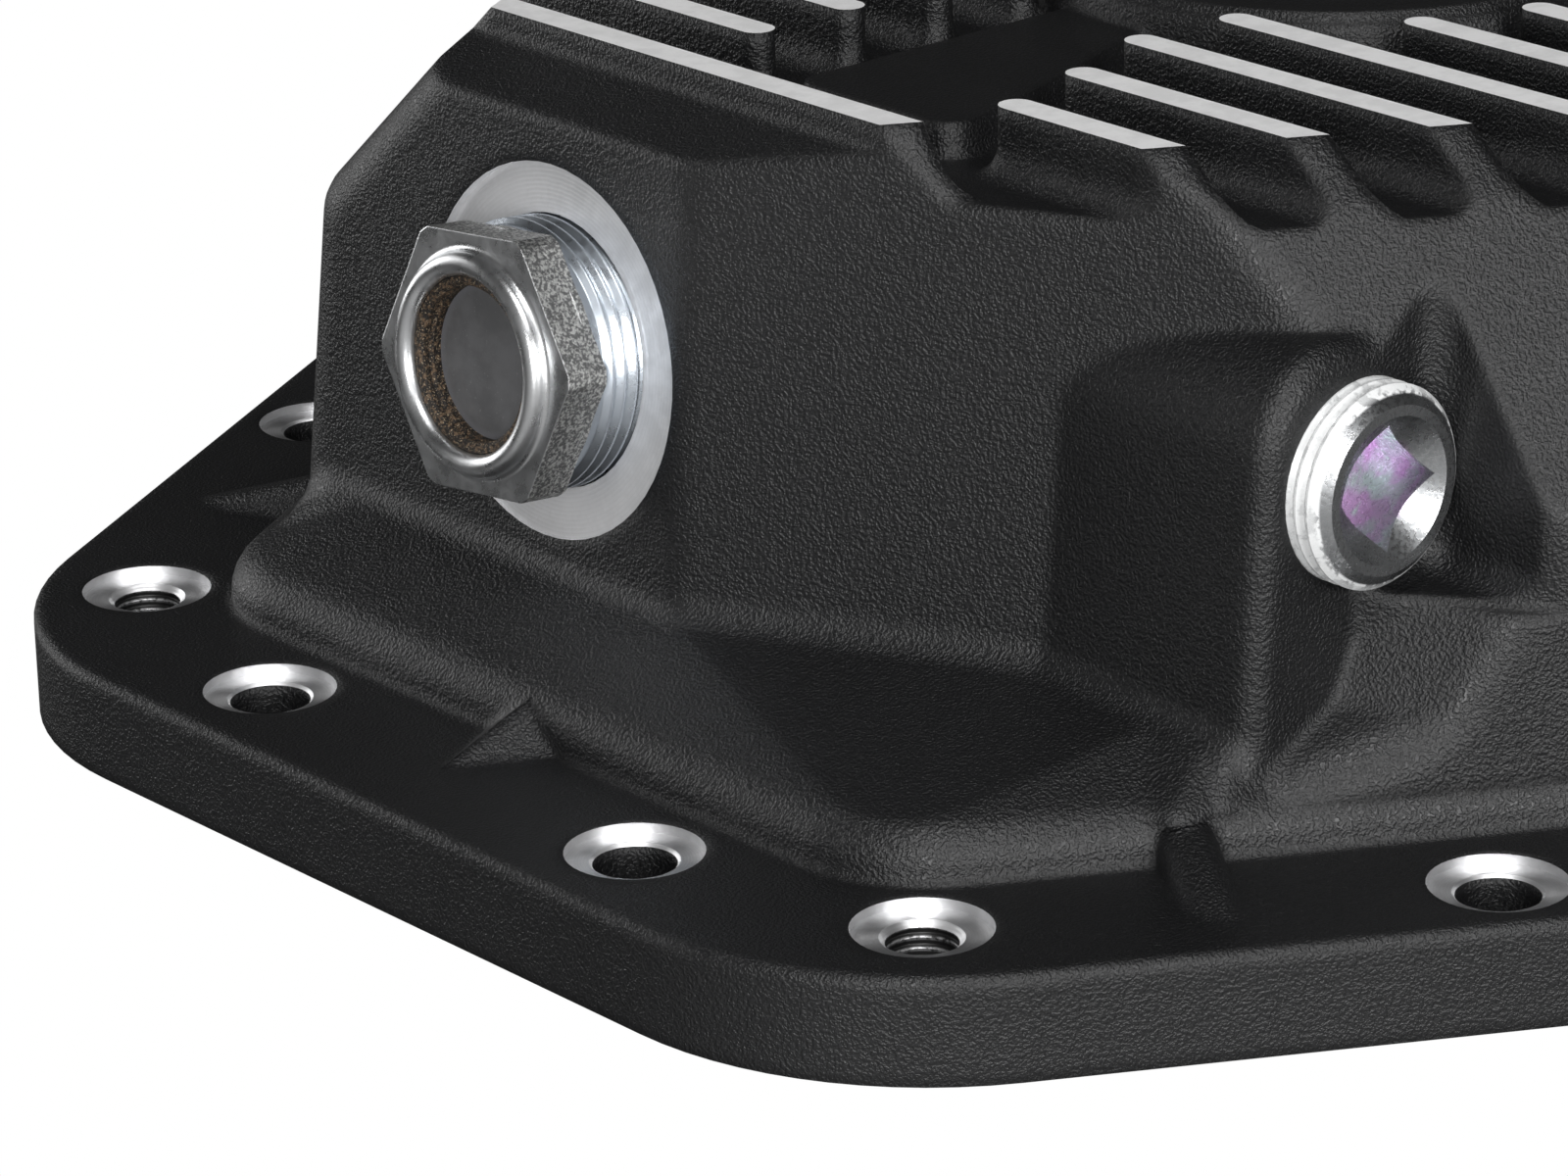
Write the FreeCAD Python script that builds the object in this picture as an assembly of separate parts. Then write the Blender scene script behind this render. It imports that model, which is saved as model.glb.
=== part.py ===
import FreeCAD, Part
import os
from math import cos, radians, sin, sqrt

# Real sizes in millimetres. The origin is the middle of the gasket face, +Z goes to the fins,
# +Y runs along the fins and +X is the side with the sight plug.

# Flange
flange_half_width = 146.5
flange_thickness = 14.3
flange_corner_radius = 49.0
flange_edge_round = 1.0

# Bolt holes: plain ones from the sides' edges, tapped and end ones from the corners' centres
bolt_hole_radius = 5.4
tapped_hole_radius = 4.6
hole_chamfer = 0.4
tapped_chamfer = 0.75
spotface_radius = 9.0
spotface_depth = 1.3
spotface_reach = 20.0
side_hole_edge = 15.0
side_hole_y = 38.0
diagonal_hole_edge = 12.51
diagonal_hole_along = 6.922
tapped_hole_offset_x = 23.8
tapped_hole_offset_y = 23.908
end_hole_offset = 33.417

# Skirt between the flange and the walls
flange_rim_width = 27.5
skirt_corner_radius = 21.5
ledge_width = 19.7
ledge_corner_radius = 1.8
skirt_side_height = 1.0
skirt_shoulder_radius = 7.0
skirt_ledge_lean = 64.5
skirt_shoulder_steps = 5
skirt_corner_lean = 78.8
skirt_overlap = 2.0

# Housing walls: distance inside the skirt's side or the side wall, the height at which it
# holds, and lean from upright
wall_thickness = 7.0
wall_foot_height = 28.8
valley_height = 88.3
side_wall_lean = 4.2
facet_angle = 26.0
facet_inside_wall = 6.8
facet_lean = 3.3
upper_wall_inside_skirt = 3.5
upper_wall_height = 54.6
upper_wall_lean = 4.2
upper_slope_inside_skirt = 24.9
upper_slope_height = 91.9
upper_slope_lean = 29.94
lower_wall_inside_skirt = 7.0
lower_wall_height = 31.8
lower_wall_lean = 5.0
lower_slope_inside_skirt = 15.4
lower_slope_height = 74.5
lower_slope_lean = 43.8
corner_radius = 9.0
foot_radius = 4.5
foot_steps = 4
foot_bottom = 20.0
foot_top = 42.0

# Boss for the filler plug and the pocket beside it
boss_side_inside_wall = 20.2
boss_side_angle = 3.0
boss_side_lean = 4.1
boss_front_inside_skirt = 29.0
boss_top_height = 76.7
boss_round = 14.0
boss_front_round = 3.5
boss_inner_gap = 12.0
pocket_wall_gap = 13.5
pocket_floor_height = 43.0
pocket_round = 4.0
lower_facet_angle = 38.0
lower_facet_gap = 0.656

# Fins
fin_count = 11
outer_fin_inside_wall = 18.8
fin_width = 4.85
fin_top_height = 97.5
fin_root_radius = 4.6
fin_root_dip = 0.4
fin_foot_depth = 5.0

# What closes the fins off at the sides: sloping ramps and a bank along the outermost fin
crown_bottom = 82.0
crown_slack = 12.0
upper_ramp_inside_skirt = 31.4
upper_ramp_lean = 45.7
outer_end_inside_skirt = 50.0
outer_end_lean = 31.0
bank_head_inside_wall = 15.3
bank_head_height = 93.5
bank_foot_inside_wall = 3.9
bank_foot_height = 89.6

# Raised plate and round boss between the fins
plate_height = 92.8
plate_neck_length = 26.6
plate_inner_top_y = 14.5
plate_slope_length = 17.0
plate_middle_top_y = 23.7
plate_end_inside_wall = 32.3
plate_end_top_y = 28.2
plate_bottom_y = -3.0
plate_corner_radius = 4.0
plate_inside_disc = 15.0
plate_draft = 1.6
plate_fin_gap = 7.5
disc_x = -24.0
disc_y = 8.0
disc_radius = 41.0
disc_draft = 2.0
disc_height = 97.2
disc_step = 1.3
disc_rim_width = 3.2
disc_fin_gap = 3.2

# Gussets on the flange
gusset_middle_edge = 13.9
gusset_middle_half_width = 9.0
gusset_edge = 9.0
gusset_width = 8.0
gusset_height = 6.5
gusset_offset = 28.8
gusset_inside = 4.0
gusset_crest_round = 3.4

# Filler plug
filler_inside_boss = 23.6
filler_height = 58.0
filler_thread_radius = 13.3
filler_stand_out = 5.6
filler_length = 19.0
filler_rim_width = 2.3
filler_rim_chamfer = 1.2
filler_thread_depth = 0.7
filler_thread_pitch = 1.8
filler_socket_width = 11.8
filler_socket_depth = 9.0
filler_cone_radius = 9.6
filler_cone_depth = 2.6
filler_boss_wall = 6.0
filler_boss_depth = 22.0
thread_clearance = 0.12

# Sight plug and its machined seat
sight_y = -18.9
sight_height = 58.4
sight_lean = 5.3
sight_seat_radius = 25.5
sight_seat_inside_wall = 3.1
sight_thread_radius = 18.4
sight_thread_pitch = 1.9
sight_thread_depth = 0.8
sight_thread_inside = 12.0
sight_hex_back = 7.1
sight_hex_front = 13.5
sight_hex_width = 34.8
sight_hex_turn = 6.0
sight_hex_corner_radius = 19.6
sight_neck_depth = 1.2
sight_lip_radius = 15.1
sight_lip_height = 2.2
sight_lip_root = 1.0
sight_window_radius = 11.9
sight_bore_radius = 10.4
sight_glass_depth = 5.0
sight_glass_thickness = 4.0
sight_ring_thickness = 1.3
sight_ring_groove = 0.5
sight_ring_below_lip = 1.6
sight_fit = 0.1
sight_boss_wall = 7.0
sight_boss_depth = 15.0

# Places that follow from the sizes above
skirt_half_width = flange_half_width - flange_rim_width
side_wall_x = skirt_half_width - ledge_width
facet_distance = side_wall_x - facet_inside_wall
upper_wall_distance = skirt_half_width - upper_wall_inside_skirt
upper_slope_distance = skirt_half_width - upper_slope_inside_skirt
lower_wall_distance = skirt_half_width - lower_wall_inside_skirt
lower_slope_distance = skirt_half_width - lower_slope_inside_skirt
boss_side_distance = side_wall_x - boss_side_inside_wall
boss_front_y = skirt_half_width - boss_front_inside_skirt
filler_x = boss_side_distance - filler_inside_boss
pocket_wall_x = filler_x - pocket_wall_gap
boss_inner_x = pocket_wall_x - boss_inner_gap
upper_ramp_distance = skirt_half_width - upper_ramp_inside_skirt
outer_end_distance = skirt_half_width - outer_end_inside_skirt
outer_fin_x = side_wall_x - outer_fin_inside_wall
fin_pitch = 2 * outer_fin_x / (fin_count - 1)
bank_head_x = side_wall_x - bank_head_inside_wall
bank_foot_x = side_wall_x - bank_foot_inside_wall
plate_end_x = side_wall_x - plate_end_inside_wall
plate_middle_x = plate_end_x - plate_slope_length
plate_inner_x = plate_middle_x - plate_neck_length
sight_seat_x = side_wall_x - sight_seat_inside_wall

big = 600.0
up = FreeCAD.Vector(0, 0, 1)


def vector(x, y, z):
    return FreeCAD.Vector(x, y, z)


def outward(angle, lean=0.0):
    """The direction that points out of a wall at this angle in plan, leaning back from upright."""
    flat = cos(radians(lean))
    return vector(cos(radians(angle)) * flat, sin(radians(angle)) * flat, sin(radians(lean)))


def outside(point, direction):
    """A large block that starts at a point and lies on the side the direction shows."""
    block = Part.makeBox(big, big, big, vector(-big / 2, -big / 2, 0))
    block.Placement = FreeCAD.Placement(point, FreeCAD.Rotation(up, direction))
    return block


def beyond(angle, distance, height, lean, inset=0.0):
    """A large block that starts at a wall's surface and lies outside it."""
    direction = outward(angle, lean)
    return outside(outward(angle) * distance + up * height - direction * inset, direction)


def walls():
    """Angle, distance, height and lean of each flat wall of the right half."""
    return [
        (0.0, side_wall_x, wall_foot_height, side_wall_lean),
        (facet_angle, facet_distance, wall_foot_height, facet_lean),
        (60.0, upper_wall_distance, upper_wall_height, upper_wall_lean),
        (60.0, upper_slope_distance, upper_slope_height, upper_slope_lean),
        (-60.0, lower_wall_distance, lower_wall_height, lower_wall_lean),
        (-60.0, lower_slope_distance, lower_slope_height, lower_slope_lean),
    ]


def envelope(bottom, top, inset=0.0):
    """The walls' common inside: a block trimmed by each wall and its mirror image."""
    body = Part.makeBox(big, big, top - bottom, vector(-big / 2, -big / 2, bottom))
    for angle, distance, height, lean in walls():
        for side in (angle, 180.0 - angle):
            body = body.cut(beyond(side, distance, height, lean, inset))
    return body


def prism(points, bottom, top):
    """An upright block on a plan outline."""
    corners = [vector(x, y, bottom) for x, y in points]
    outline = Part.makePolygon(corners + corners[:1])
    return Part.Face(outline).extrude(up * (top - bottom))


def corner_centre_distance(half_width, radius):
    """How far the centres of a hexagon's corner rounds are from the middle."""
    return (half_width - radius) / cos(radians(30))


def rounded_hexagon(half_width, radius, height):
    """A level hexagon outline with flats facing +X and -X and rounded corners."""
    centre_distance = corner_centre_distance(half_width, radius)
    edges = []
    for index in range(6):
        angle = 30.0 + 60.0 * index
        centre = outward(angle) * centre_distance + up * height
        start = centre + outward(angle - 30) * radius
        middle = centre + outward(angle) * radius
        end = centre + outward(angle + 30) * radius
        next_centre = outward(angle + 60) * centre_distance + up * height
        edges.append(Part.Arc(start, middle, end).toShape())
        edges.append(Part.makeLine(end, next_centre + outward(angle + 30) * radius))
    return Part.Wire(edges)


def flange():
    """The bolting flange, with its upper edge slightly rounded."""
    outline = rounded_hexagon(flange_half_width, flange_corner_radius, 0)
    plate = Part.Face(outline).extrude(up * flange_thickness)
    rim = [edge for edge in plate.Edges if edge.BoundBox.ZMin > flange_thickness - 0.01]
    return plate.makeFillet(flange_edge_round, rim)


def skirt():
    """The foot of the housing: a short upright side, a rounded shoulder and a sloping ledge."""
    levels = [(skirt_half_width, skirt_corner_radius, flange_thickness - skirt_overlap)]
    for step in range(skirt_shoulder_steps + 1):
        turn = radians(skirt_ledge_lean * step / skirt_shoulder_steps)
        inside = skirt_shoulder_radius * (1 - cos(turn))
        height = flange_thickness + skirt_side_height + skirt_shoulder_radius * sin(turn)
        levels.append((skirt_half_width - inside, skirt_corner_radius - inside, height))
    levels.append((side_wall_x, ledge_corner_radius, wall_foot_height))
    rings = [rounded_hexagon(*level) for level in levels]
    body = Part.makeLoft(rings, True, True)
    for angle in (facet_angle, 180.0 - facet_angle):
        body = body.cut(beyond(angle, facet_distance, wall_foot_height, skirt_corner_lean))
    return body


def shoulder_half_width():
    """Half width of the skirt where the rounded shoulder ends."""
    return skirt_half_width - skirt_shoulder_radius * (1 - cos(radians(skirt_ledge_lean)))


def rounded_walls(bottom, top):
    """The walls' common inside with its upright and sloping corners rounded."""
    body = envelope(bottom, top)
    corners = [e for e in body.Edges if e.BoundBox.ZMax > bottom + 1 and e.BoundBox.ZMin < top - 0.1]
    return body.makeFillet(corner_radius, corners)


def housing():
    """The housing walls with rounded corners, before the boss and the fins."""
    return rounded_walls(flange_thickness - skirt_overlap, valley_height)


def crown():
    """The outer limit of the fins: the walls carried up and cut off by the ramps and the top."""
    body = rounded_walls(crown_bottom, fin_top_height + crown_slack)
    inner_x = fin_stations()[-1] - fin_pitch / 2
    end = beyond(60.0, outer_end_distance, fin_top_height, outer_end_lean)
    end = end.cut(outside(vector(inner_x, 0, 0), vector(-1, 0, 0)))
    body = body.cut([end, end.mirror(vector(0, 0, 0), vector(1, 0, 0))])
    for angle in (60.0, 120.0):
        body = body.cut(beyond(angle, upper_ramp_distance, fin_top_height, upper_ramp_lean))
    return body.cut(outside(up * fin_top_height, up))


def boss():
    """The block that carries the filler plug, rounded over its upper and front edges."""
    bottom = flange_thickness - skirt_overlap
    block = Part.makeBox(big / 2, boss_front_y, boss_top_height - bottom, vector(0, 0, bottom))
    block = block.cut(beyond(boss_side_angle, boss_side_distance, wall_foot_height, boss_side_lean))
    along = [e for e in block.Edges if abs(e.tangentAt(e.FirstParameter).y) > 0.9]
    along = [e for e in along if e.CenterOfMass.x > boss_inner_x]
    block = block.makeFillet(boss_round, [e for e in along if e.CenterOfMass.z > boss_top_height - 1])
    front = [e for e in block.Edges if e.BoundBox.YMin > boss_front_y - 0.1]
    front = [e for e in front if e.BoundBox.ZMax > bottom + 1]
    block = block.makeFillet(boss_front_round, [e for e in front if e.BoundBox.XMax > boss_inner_x])
    return block.cut(outside(vector(boss_inner_x, 0, 0), vector(-1, 0, 0)))


def lower_facet_distance():
    """How far from the middle the small facet below the plug lies."""
    turn = radians(lower_facet_angle)
    return filler_x * cos(turn) + boss_front_y * sin(turn) + lower_facet_gap


def pocket(grow=0.0):
    """The space beside the plug, and what the lower facet takes off below it."""
    near_x = pocket_wall_x - grow
    near_y = boss_front_y - grow
    floor = pocket_floor_height - grow
    upper = Part.makeBox(big / 2, big / 2, big / 2, vector(near_x, near_y, floor))
    inner = [e for e in upper.Edges if e.BoundBox.XMin < near_x + 0.1 and e.BoundBox.YMin < near_y + 0.1]
    inner = [e for e in inner if e.BoundBox.ZMin < floor + 0.1]
    upper = upper.makeFillet(pocket_round, inner)
    distance = lower_facet_distance() - grow
    lean = radians(lower_facet_angle)
    start_x = (distance - near_y * sin(lean)) / cos(lean)
    far_x = (distance - big * sin(lean)) / cos(lean)
    lower = prism([(start_x, near_y), (big, near_y), (big, big), (far_x, big)], flange_thickness - grow, big)
    return upper.fuse(lower)


def blend(first, second, share):
    """The direction part of the way from one direction to another."""
    turn = first.getAngle(second)
    return (first * sin((1 - share) * turn) + second * sin(share * turn)) / sin(turn)


def meeting(first, first_point, second, second_point):
    """A point where two planes meet, each given by its normal and a point on it."""
    along = first.cross(second)
    from_first = second.cross(along) * first.dot(first_point)
    from_second = along.cross(first) * second.dot(second_point)
    return (from_first + from_second) / along.dot(along)


def foot_planes(wall, ledge):
    """Planes that together round the foot of a wall on a ledge, as point and direction pairs."""
    first = outward(wall[0], wall[3])
    second = outward(ledge[0], ledge[3])
    corner = meeting(
        first,
        outward(wall[0]) * wall[1] + up * wall[2],
        second,
        outward(ledge[0]) * ledge[1] + up * ledge[2],
    )
    centre = corner + (first + second) * (foot_radius / (1 + first.dot(second)))
    directions = [blend(first, second, step / foot_steps) for step in range(1, foot_steps)]
    return [(centre - direction * foot_radius, direction) for direction in directions]


def mirrored(plane):
    """A plane's mirror image on the other side of the middle."""
    point, direction = plane
    return vector(-point.x, point.y, point.z), vector(-direction.x, direction.y, direction.z)


def foot_block(start_x, start_y, planes, limits):
    """A low block from a given corner, trimmed by the planes and by whole walls."""
    size = big / 2
    corner = vector(start_x, start_y, foot_bottom)
    body = Part.makeBox(size - start_x, size - start_y, foot_top - foot_bottom, corner)
    return body.cut([outside(*plane) for plane in planes] + [beyond(*limit) for limit in limits])


def rounded_corners(body, radius):
    """The low block with the edges that climb its outer corners rounded."""
    climbing = [e for e in body.Edges if e.BoundBox.ZMin < foot_bottom + 0.1]
    climbing = [e for e in climbing if e.BoundBox.ZMax > foot_bottom + 1]
    outer = [e for e in climbing if max(abs(e.BoundBox.XMax), abs(e.BoundBox.XMin)) > boss_inner_x + 1]
    return body.makeFillet(radius, outer)


def feet():
    """The hollow roundings where the walls and the boss stand on the skirt."""
    side, facet, upper, _, lower, _ = walls()
    side_ledge = (0.0, side_wall_x, wall_foot_height, skirt_ledge_lean)
    corner_ledge = (facet_angle, facet_distance, wall_foot_height, skirt_corner_lean)
    upper_ledge = (60.0, side_wall_x, wall_foot_height, skirt_ledge_lean)
    lower_ledge = (-60.0, side_wall_x, wall_foot_height, skirt_ledge_lean)
    boss_side = (boss_side_angle, boss_side_distance, wall_foot_height, boss_side_lean)
    boss_front = (90.0, boss_front_y, wall_foot_height, 0.0)
    lower_facet = (lower_facet_angle, lower_facet_distance(), wall_foot_height, 0.0)
    bodies = []
    around = [foot_planes(side, side_ledge), foot_planes(facet, corner_ledge), foot_planes(lower, lower_ledge)]
    for planes in zip(*around):
        both = list(planes) + [mirrored(plane) for plane in planes]
        body = foot_block(-big / 2, -big / 2, both, [upper, (180.0 - upper[0],) + upper[1:]])
        bodies.append(rounded_corners(body, corner_radius))
    for planes in zip(foot_planes(boss_side, corner_ledge), foot_planes(boss_front, upper_ledge)):
        body = foot_block(boss_inner_x, 0.0, planes, [])
        bodies.append(rounded_corners(body, boss_front_round))
    for plane in foot_planes(lower_facet, upper_ledge):
        bodies.append(foot_block(boss_inner_x, 0.0, [plane], [boss_side, upper]))
    return bodies


def fin_section(half_width):
    """Half of a fin's upright section: its hollow root and its flank."""
    root = fin_root_radius
    low = valley_height - fin_foot_depth
    dip = valley_height - fin_root_dip
    bend = 1 - cos(radians(45))
    foot = vector(half_width + root, 0, low)
    base = vector(half_width + root, 0, dip)
    middle = vector(half_width + root * bend, 0, dip + root * bend)
    rise = vector(half_width, 0, dip + root)
    edge = vector(half_width, 0, fin_top_height)
    lines = [
        Part.makeLine(vector(0, 0, low), foot),
        Part.makeLine(foot, base),
        Part.Arc(base, middle, rise).toShape(),
        Part.makeLine(rise, edge),
        Part.makeLine(edge, vector(0, 0, fin_top_height)),
        Part.makeLine(vector(0, 0, fin_top_height), vector(0, 0, low)),
    ]
    return Part.Face(Part.Wire(lines))


def fin(x, start_y, end_y, rounded_ends):
    """One run of a fin with a hollow root, turned round at each of the given ends."""
    half = fin_section(fin_width / 2)
    half.translate(vector(x, start_y, 0))
    run = half.extrude(vector(0, end_y - start_y, 0))
    pieces = [run.mirror(vector(x, 0, 0), vector(1, 0, 0))]
    for y in rounded_ends:
        end = half.translated(vector(0, y - start_y, 0))
        pieces.append(end.revolve(vector(x, y, 0), up, 360))
    return run.fuse(pieces)


def fin_stations():
    """X of each fin, from left to right."""
    return [(index - (fin_count - 1) / 2) * fin_pitch for index in range(fin_count)]


def plate_top(x):
    """Y of the raised plate's upper edge at this X."""
    if x > plate_middle_x:
        slope = (plate_end_top_y - plate_middle_top_y) / (plate_end_x - plate_middle_x)
    else:
        slope = (plate_middle_top_y - plate_inner_top_y) / (plate_middle_x - plate_inner_x)
    return plate_middle_top_y + slope * (x - plate_middle_x)


def fin_gap(x):
    """Where a fin is broken to clear the round boss and the plate, or None."""
    ends = []
    clear = disc_radius + disc_fin_gap
    if abs(x - disc_x) < clear:
        reach = sqrt(clear ** 2 - (x - disc_x) ** 2)
        ends += [disc_y - reach, disc_y + reach]
    if disc_x < x < plate_end_x:
        ends += [plate_bottom_y - plate_fin_gap, plate_top(x) + plate_fin_gap]
    if not ends:
        return None
    return min(ends) - fin_width / 2, max(ends) + fin_width / 2


def fins():
    """All fins, cut off at the sides by the ramps and banked along the two outermost."""
    solids = banks()
    far = flange_half_width + flange_corner_radius
    for x in fin_stations():
        gap = fin_gap(x)
        if gap is None:
            solids.append(fin(x, -far, far, []))
        else:
            solids.append(fin(x, -far, gap[0], [gap[0]]))
            solids.append(fin(x, gap[1], far, [gap[1]]))
    return solids[0].fuse(solids[1:]).common(crown())


def banks():
    """The sloping banks outside the two outermost fins."""
    x = fin_stations()[-1]
    low = valley_height - fin_foot_depth
    flank = x + fin_width / 2
    slope = (bank_foot_height - bank_head_height) / (bank_foot_x - bank_head_x)
    far_x = side_wall_x + 1
    points = [
        (x, low),
        (far_x, low),
        (far_x, bank_foot_height + slope * (far_x - bank_foot_x)),
        (flank, bank_head_height + slope * (flank - bank_head_x)),
        (flank, fin_top_height),
        (x, fin_top_height),
    ]
    far_y = flange_half_width
    corners = [vector(px, -far_y, pz) for px, pz in points]
    bank = Part.Face(Part.makePolygon(corners + corners[:1])).extrude(vector(0, 2 * far_y, 0))
    return [bank, bank.mirror(vector(0, 0, 0), vector(1, 0, 0))]


def plate():
    """The raised plate to the right of the round boss, with drafted sides and round corners."""
    start_x = plate_inner_x - plate_inside_disc
    outline = [
        (start_x, plate_bottom_y),
        (plate_end_x, plate_bottom_y),
        (plate_end_x, plate_end_top_y),
        (plate_middle_x, plate_middle_top_y),
        (start_x, plate_top(start_x)),
    ]
    low = valley_height - skirt_overlap
    body = prism(outline, low, plate_height)
    upright = [e for e in body.Edges if e.BoundBox.ZLength > 1 and e.CenterOfMass.x > plate_end_x - 1]
    body = body.makeFillet(plate_corner_radius, upright)
    top = [face for face in body.Faces if face.BoundBox.ZMin > plate_height - 0.1][0].OuterWire
    foot = top.makeOffset2D(plate_draft, 2)
    foot.translate(up * (low - plate_height))
    return Part.makeLoft([foot, top], True, True)


def disc():
    """The round boss between the fins, with a stepped rim round a lower face."""
    low = valley_height - skirt_overlap
    rim = disc_radius - disc_step
    face = rim - disc_rim_width
    body = turned(
        [
            (0, low),
            (disc_radius + disc_draft, low),
            (disc_radius, disc_height - disc_step),
            (rim, disc_height - disc_step),
            (rim, disc_height),
            (face, disc_height),
            (face, disc_height - disc_step),
            (0, disc_height - disc_step),
        ]
    )
    body.translate(vector(disc_x, disc_y, 0))
    return body


def gusset(angle, offset):
    """A straight rib with a rounded crest from the flange to the skirt's shoulder."""
    inner = shoulder_half_width() - gusset_inside
    foot = flange_half_width - gusset_edge
    outline = [
        vector(inner, 0, flange_thickness - 1),
        vector(foot, 0, flange_thickness - 1),
        vector(foot, 0, flange_thickness),
        vector(shoulder_half_width(), 0, flange_thickness + gusset_height),
        vector(inner, 0, flange_thickness + gusset_height),
    ]
    face = Part.Face(Part.makePolygon(outline + outline[:1]))
    rib = face.extrude(vector(0, gusset_width, 0))
    rib.translate(vector(0, offset - gusset_width / 2, 0))
    crest = [e for e in rib.Edges if e.BoundBox.YLength < 0.01 and e.BoundBox.ZLength > 1 and e.Length > 15]
    rib = rib.makeFillet(gusset_crest_round, crest)
    rib.rotate(vector(0, 0, 0), up, angle)
    return rib


def ridge_gusset():
    """The gusset in the middle of a side: two flats that meet in a ridge."""
    z = flange_thickness
    top = vector(shoulder_half_width(), 0, z + gusset_height)
    foot = vector(flange_half_width - gusset_middle_edge, 0, z)
    left = vector(shoulder_half_width(), gusset_middle_half_width, z)
    right = vector(shoulder_half_width(), -gusset_middle_half_width, z)
    triangles = [(left, foot, top), (foot, right, top), (right, left, top), (left, right, foot)]
    faces = [Part.Face(Part.makePolygon([a, b, c, a])) for a, b, c in triangles]
    return Part.Solid(Part.makeShell(faces))


def gussets():
    """Every gusset of the right half and its mirror image."""
    right = [
        ridge_gusset(),
        gusset(60.0, -gusset_offset),
        gusset(-60.0, gusset_offset),
    ]
    left = [rib.mirror(vector(0, 0, 0), vector(1, 0, 0)) for rib in right]
    return right + left


def cavity():
    """The hollow inside: the walls moved in by their thickness, open at the gasket face."""
    room = envelope(-1, valley_height - wall_thickness - 1, wall_thickness)
    room = room.cut(pocket(wall_thickness))
    hollow = skirt_corner_radius - wall_thickness
    mouth_width = shoulder_half_width() - wall_thickness
    mouth = Part.Face(rounded_hexagon(mouth_width, hollow, -1)).extrude(up * (flange_thickness + 2))
    keep = Part.makeCylinder(
        filler_thread_radius + filler_boss_wall,
        filler_boss_depth,
        vector(filler_x, boss_front_y - filler_boss_depth, filler_height),
        vector(0, 1, 0),
    )
    axis = sight_axis()
    seat_boss = Part.makeCylinder(
        sight_thread_radius + sight_boss_wall,
        sight_boss_depth,
        sight_origin() - axis * sight_boss_depth,
        axis,
    )
    return room.fuse(mouth).cut(keep).cut(seat_boss)


def mirrored_points(x, y):
    """The four mirror images of a point in the plan."""
    return [(side_x * x, side_y * y) for side_x in (1, -1) for side_y in (1, -1)]


def through_holes():
    """Centres of the plain bolt holes."""
    end_y = corner_centre_distance(flange_half_width, flange_corner_radius) + end_hole_offset
    sides = mirrored_points(flange_half_width - side_hole_edge, side_hole_y)
    diagonal = outward(60.0) * (flange_half_width - diagonal_hole_edge)
    diagonal = diagonal + outward(150.0) * diagonal_hole_along
    return sides + mirrored_points(diagonal.x, diagonal.y) + [(0.0, end_y), (0.0, -end_y)]


def tapped_holes():
    """Centres of the tapped holes."""
    centre = outward(30.0) * corner_centre_distance(flange_half_width, flange_corner_radius)
    return mirrored_points(centre.x + tapped_hole_offset_x, centre.y + tapped_hole_offset_y)


def hole_tool(x, y, radius, chamfer):
    """A hole through the flange with its spotface and chamfer."""
    floor = flange_thickness - spotface_depth
    hole = Part.makeCylinder(radius, flange_thickness + 2, vector(x, y, -1))
    seat = Part.makeCylinder(spotface_radius, spotface_depth + spotface_reach, vector(x, y, floor))
    cone = Part.makeCone(radius, radius + chamfer, chamfer, vector(x, y, floor - chamfer))
    return hole.fuse([cone, seat]).removeSplitter()


def sight_axis():
    """The direction the sight plug points in."""
    return outward(0.0, sight_lean)


def sight_origin():
    """The middle of the sight plug's machined seat."""
    return vector(sight_seat_x, sight_y, sight_height)


def sight_placement():
    """Puts a shape turned about +Z onto the sight plug's axis."""
    return FreeCAD.Placement(sight_origin(), FreeCAD.Rotation(up, sight_axis()))


def filler_placement():
    """Puts a shape turned about +Z onto the filler plug's axis, from the boss's front face."""
    place = vector(filler_x, boss_front_y, filler_height)
    return FreeCAD.Placement(place, FreeCAD.Rotation(up, vector(0, 1, 0)))


def sight_port():
    """The seat and the hole for the sight plug."""
    seat = Part.makeCylinder(sight_seat_radius, sight_boss_depth)
    depth = sight_boss_depth + sight_boss_wall
    hole = Part.makeCylinder(sight_thread_radius + thread_clearance, 2 * depth, vector(0, 0, -depth))
    port = seat.fuse(hole).removeSplitter()
    port.Placement = sight_placement()
    return port


def filler_port():
    """The hole for the filler plug."""
    depth = filler_boss_depth + filler_boss_wall
    hole = Part.makeCylinder(filler_thread_radius + thread_clearance, 2 * depth, vector(0, 0, -depth))
    hole.Placement = filler_placement()
    return hole


def cover_casting():
    """The whole painted casting."""
    solid = housing().fuse(boss()).cut(pocket())
    solid = solid.fuse([fins(), plate(), disc(), skirt(), flange()] + feet() + gussets())
    solid = solid.cut(cavity())
    tools = [hole_tool(x, y, bolt_hole_radius, hole_chamfer) for x, y in through_holes()]
    tools += [hole_tool(x, y, tapped_hole_radius, tapped_chamfer) for x, y in tapped_holes()]
    return solid.cut(tools + [sight_port(), filler_port()]).removeSplitter()


def turned(profile):
    """A solid turned about +Z from (radius, height) points."""
    corners = [vector(radius, 0, height) for radius, height in profile]
    return Part.Face(Part.makePolygon(corners + corners[:1])).revolve(vector(0, 0, 0), up, 360)


def grooved_thread(radius, depth, pitch, start, end):
    """Profile points of ring grooves along a shank, from start up to end."""
    count = int((end - start) / pitch)
    step = (end - start) / count
    points = []
    for index in range(count):
        low = start + index * step
        points.append((radius - depth, low))
        points.append((radius, low + step * 0.42))
        points.append((radius, low + step * 0.58))
    points.append((radius - depth, end))
    return points


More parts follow.
